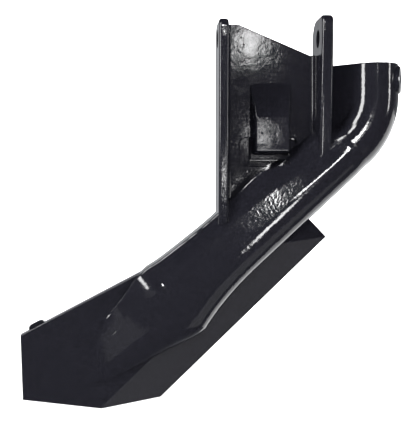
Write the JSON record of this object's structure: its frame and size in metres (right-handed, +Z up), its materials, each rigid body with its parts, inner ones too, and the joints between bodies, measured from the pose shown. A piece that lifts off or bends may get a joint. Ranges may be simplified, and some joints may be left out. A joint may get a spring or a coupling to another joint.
{
  "type": "seed drill share",
  "caption": "Cast seed drill share with a bolt-on bracket, a bent seed tube and a wedge-shaped furrow opener.",
  "frame": {"origin": "middle of the bolt axis through the two ears", "axes": "+X forward along the drill's travel, +Y towards the flat back face, +Z up"},
  "size_m": [0.3182, 0.046, 0.3252],
  "materials": {
    "painted_casting": "gloss black paint over an as-cast skin"
  },
  "bodies": {
    "root": {"share_casting": "painted_casting"}
  },
  "joints": []
}
